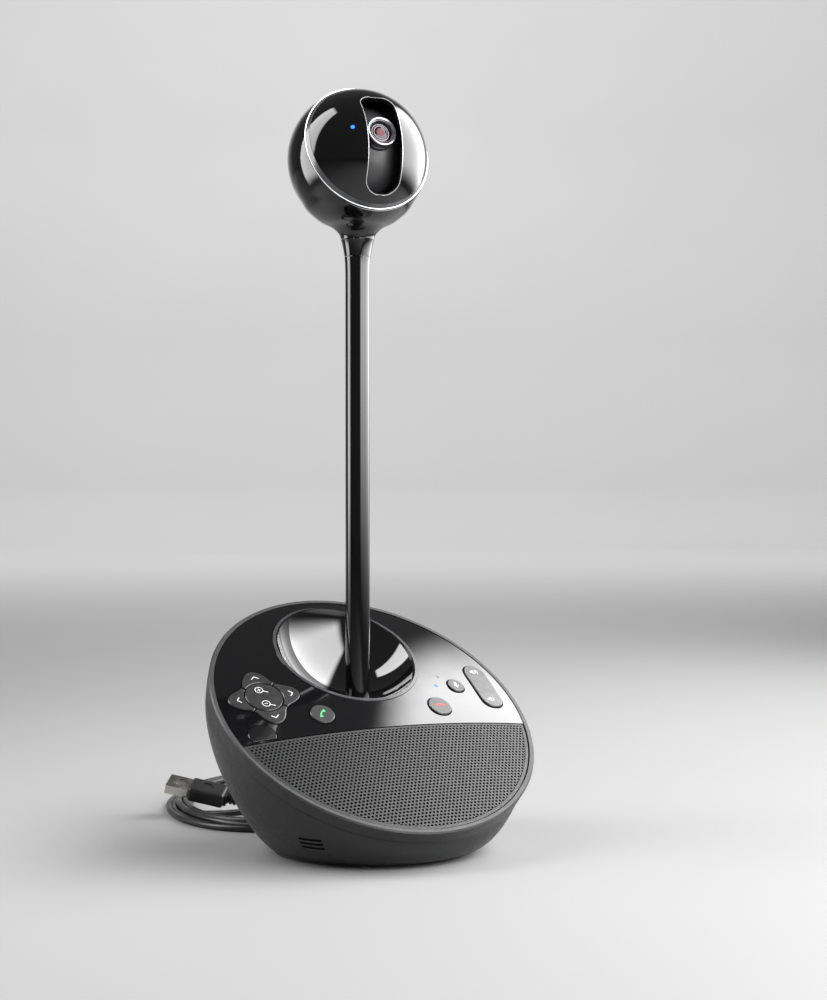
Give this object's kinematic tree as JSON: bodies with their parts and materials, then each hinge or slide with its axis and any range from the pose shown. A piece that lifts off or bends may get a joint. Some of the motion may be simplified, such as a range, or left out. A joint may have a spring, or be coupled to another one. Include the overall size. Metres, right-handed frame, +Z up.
{
  "type": "webcam on tripod",
  "caption": "Desk conference camera: tilted round speaker base with key panel and docking bowl, upright pole, panning ball head with tilting lens behind a slot, and a coiled USB cord.",
  "frame": {"origin": "centre of the round foot, on the surface it stands on", "axes": "+Z up along the pole, -Y towards the user in front of the low edge of the tilted deck, +X to the user's right"},
  "size_m": [0.1541, 0.2661, 0.3453],
  "materials": {
    "housing": "soft matte charcoal",
    "rim": "satin dark grey",
    "panel": "mirror gloss black",
    "bowl": "mirror gloss black",
    "pole": "mirror gloss black",
    "ball": "mirror gloss black",
    "key": "satin dark grey with printed icons",
    "key_gloss": "gloss black",
    "grille": "perforated sheet, dark grey paint",
    "cloth": "black acoustic cloth",
    "rubber": "black rubber",
    "steel": "zinc plated",
    "ballast": "grey iron",
    "inner": "black moulding",
    "board": "green board",
    "contact": "gold plated",
    "chrome": "polished",
    "bezel": "dark grey gloss",
    "light": "blue light guide",
    "lens_glass": "coated lens",
    "lens_metal": "anodised dark grey",
    "cone": "paper cone",
    "cable": "black cord jacket",
    "usb_metal": "nickel plated",
    "usb_tongue": "white plastic"
  },
  "bodies": {
    "base": {"housing": "housing", "foot_pad": "rubber", "base_plate": "inner", "base_screws": "steel", "ballast": "ballast", "rim_ring": "rim", "top_panel": "panel", "bowl_ring": "bezel", "bowl": "bowl", "dock_socket": "inner", "dock_contacts": "contact", "speaker_grille": "grille", "speaker_cloth": "cloth", "speaker_basket": "steel", "speaker_cone": "cone", "speaker_magnet": "ballast", "main_board": "board", "key_switches": "inner", "deck_lights": "light", "mic_capsule": "steel", "cord_gland": "rubber", "cord_lead": "cable", "cord_coil": "cable", "cord_tail": "cable", "plug_grip": "cable", "plug_shell": "usb_metal", "plug_tongue": "usb_tongue"},
    "stand": {"stand_tube": "pole", "stand_wiring": "cable", "stand_plug": "contact", "stand_socket": "contact"},
    "neck": {"neck_collar": "pole", "pan_shaft": "steel", "pan_clip": "steel"},
    "head": {"rear_shell": "ball", "seam_ring": "chrome", "bezel_band": "bezel", "front_dome": "ball", "status_light": "light", "head_frame": "inner", "tilt_motor": "steel", "pan_motor": "steel", "head_board": "board"},
    "lens": {"lens_carriage": "key_gloss", "lens_barrel": "lens_metal", "lens_ring": "lens_metal", "lens_glass": "lens_glass", "lens_baffle": "inner", "lens_sensor": "board"},
    "key_up": {"key_up": "key"},
    "key_down": {"key_down": "key"},
    "key_left": {"key_left": "key"},
    "key_right": {"key_right": "key"},
    "key_answer": {"key_answer": "key"},
    "key_end": {"key_end": "key"},
    "key_mute": {"key_mute": "key"},
    "key_preset": {"key_preset": "key_gloss"},
    "key_zoom": {"key_zoom": "key"},
    "key_volume": {"key_volume": "key"}
  },
  "joints": [
    {"name": "stand_unplug", "type": "slide", "parent": "base", "child": "stand", "axis": [0, 0, 1], "range_m": [0, 0.026]},
    {"name": "camera_unplug", "type": "slide", "parent": "stand", "child": "neck", "axis": [0, 0, 1], "range_m": [0, 0.019]},
    {"name": "head_pan", "type": "hinge", "parent": "neck", "child": "head", "pos_m": [0, 0.01317, 0.2765], "axis": [0, 0, 1], "range_deg": [-84.5, 95.5]},
    {"name": "lens_tilt", "type": "hinge", "parent": "head", "child": "lens", "pos_m": [0, 0.01317, 0.313], "axis": [0.9954, -0.0958, 0], "range_deg": [-17, 38]},
    {"name": "key_up_press", "type": "slide", "parent": "base", "child": "key_up", "axis": [0, 0.5983, -0.8013], "range_m": [0, 0.0008], "stiffness_N_per_m": 700, "springref_m": -0.0006},
    {"name": "key_down_press", "type": "slide", "parent": "base", "child": "key_down", "axis": [0, 0.5983, -0.8013], "range_m": [0, 0.0008], "stiffness_N_per_m": 700, "springref_m": -0.0006},
    {"name": "key_left_press", "type": "slide", "parent": "base", "child": "key_left", "axis": [0, 0.5983, -0.8013], "range_m": [0, 0.0008], "stiffness_N_per_m": 700, "springref_m": -0.0006},
    {"name": "key_right_press", "type": "slide", "parent": "base", "child": "key_right", "axis": [0, 0.5983, -0.8013], "range_m": [0, 0.0008], "stiffness_N_per_m": 700, "springref_m": -0.0006},
    {"name": "key_answer_press", "type": "slide", "parent": "base", "child": "key_answer", "axis": [0, 0.5983, -0.8013], "range_m": [0, 0.0008], "stiffness_N_per_m": 700, "springref_m": -0.0006},
    {"name": "key_end_press", "type": "slide", "parent": "base", "child": "key_end", "axis": [0, 0.5983, -0.8013], "range_m": [0, 0.0008], "stiffness_N_per_m": 700, "springref_m": -0.0006},
    {"name": "key_mute_press", "type": "slide", "parent": "base", "child": "key_mute", "axis": [0, 0.5983, -0.8013], "range_m": [0, 0.0008], "stiffness_N_per_m": 700, "springref_m": -0.0006},
    {"name": "key_preset_press", "type": "slide", "parent": "base", "child": "key_preset", "axis": [0, 0.5983, -0.8013], "range_m": [0, 0.0008], "stiffness_N_per_m": 700, "springref_m": -0.0006},
    {"name": "key_zoom_rock", "type": "hinge", "parent": "base", "child": "key_zoom", "pos_m": [-0.0526, 0.00821, 0.06598], "axis": [1, 0, 0], "range_deg": [-2, 2], "stiffness_Nm_per_rad": 0.25},
    {"name": "key_volume_rock", "type": "hinge", "parent": "base", "child": "key_volume", "pos_m": [0.0626, 0.00717, 0.0652], "axis": [1, 0, 0], "range_deg": [-2, 2], "stiffness_Nm_per_rad": 0.25}
  ]
}
